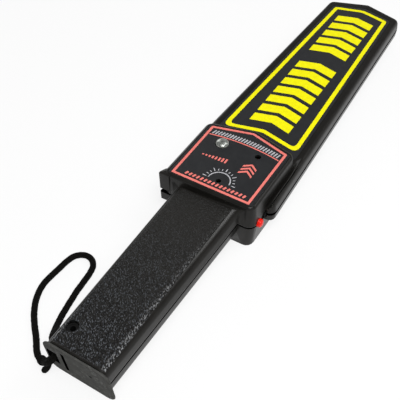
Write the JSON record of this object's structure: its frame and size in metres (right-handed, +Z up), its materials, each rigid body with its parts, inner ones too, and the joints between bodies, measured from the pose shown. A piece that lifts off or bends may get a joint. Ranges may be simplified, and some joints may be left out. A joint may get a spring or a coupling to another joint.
{
  "type": "security metal detector wand",
  "caption": "Hand-held metal detector wand with a flat tapered paddle, raised control head, slab grip, removable battery cap and wrist lanyard.",
  "frame": {"origin": "on the table under the middle of the wand's length, with the wand lying flat on the bottom of its head", "axes": "+Y along the wand from the battery cap to the paddle's tip, +Z up out of the control face, +X towards the side with the push button"},
  "size_m": [0.1076, 0.4187, 0.0405],
  "materials": {
    "housing": "moulded black ABS, lightly textured",
    "cap": "moulded dark grey ABS",
    "label": "printed film with coloured borders",
    "cord": "braided black cord",
    "button": "red moulded plastic",
    "black_trim": "black moulded plastic",
    "lens": "clear moulded resin",
    "red_lens": "red moulded resin",
    "laminate": "green circuit board laminate",
    "tin": "tinned steel",
    "screw": "zinc plated steel",
    "magnet": "nickel plated",
    "cone": "pressed paper",
    "jacket": "painted sleeve",
    "brass": "bright",
    "winding": "enamelled copper wire, wound solid",
    "former": "natural moulded plastic",
    "trimmer_blue": "blue moulded plastic",
    "trimmer_white": "off-white moulded plastic"
  },
  "bodies": {
    "wand": {"upper_housing": "housing", "lower_housing": "housing", "paddle_label": "label", "control_label": "label", "push_switch_body": "black_trim", "slide_switch_body": "tin", "circuit_board": "laminate", "amplifier_chip": "black_trim", "reservoir_capacitor": "jacket", "small_capacitor_1": "jacket", "small_capacitor_2": "jacket", "tuning_coil_can": "tin", "indicator_lamp": "lens", "power_lamp": "red_lens", "trimmer_body": "trimmer_blue", "charger_socket": "black_trim", "speaker_basket": "tin", "speaker_cone": "cone", "speaker_magnet": "magnet", "vibration_motor": "tin", "battery": "jacket", "snap_contact_1": "brass", "snap_contact_2": "brass", "contact_block": "black_trim", "coil_former": "former", "transmit_coil": "winding", "receive_coil": "winding", "screw_tip_left": "screw", "screw_tip_right": "screw", "screw_paddle_left": "screw", "screw_paddle_right": "screw", "screw_head_left": "screw", "screw_head_right": "screw", "screw_grip": "screw"},
    "cap": {"battery_cap": "cap", "lanyard_cord": "cord", "lanyard_knot": "cord"},
    "button": {"push_button": "button"},
    "mode_switch": {"slide_switch_knob": "black_trim"},
    "trimmer": {"trimmer_rotor": "trimmer_white"},
    "weight": {"motor_weight": "brass"}
  },
  "joints": [
    {"name": "battery_cap_pull", "type": "slide", "parent": "wand", "child": "cap", "axis": [0, -1, 0], "range_m": [0, 0.04]},
    {"name": "push_button_press", "type": "slide", "parent": "wand", "child": "button", "axis": [-1, 0, 0], "range_m": [0, 0.0015], "stiffness_N_per_m": 400, "springref_m": -0.001},
    {"name": "mode_switch_slide", "type": "slide", "parent": "wand", "child": "mode_switch", "axis": [0, 1, 0], "range_m": [-0.0025, 0.0025]},
    {"name": "trimmer_turn", "type": "hinge", "parent": "wand", "child": "trimmer", "pos_m": [0.00199, -0.05715, 0.029], "axis": [0, 0, 1], "range_deg": [-135, 135]},
    {"name": "weight_spin", "type": "hinge", "parent": "wand", "child": "weight", "pos_m": [-0.023, -0.02825, 0.0063], "axis": [0, 1, 0], "continuous": true}
  ]
}
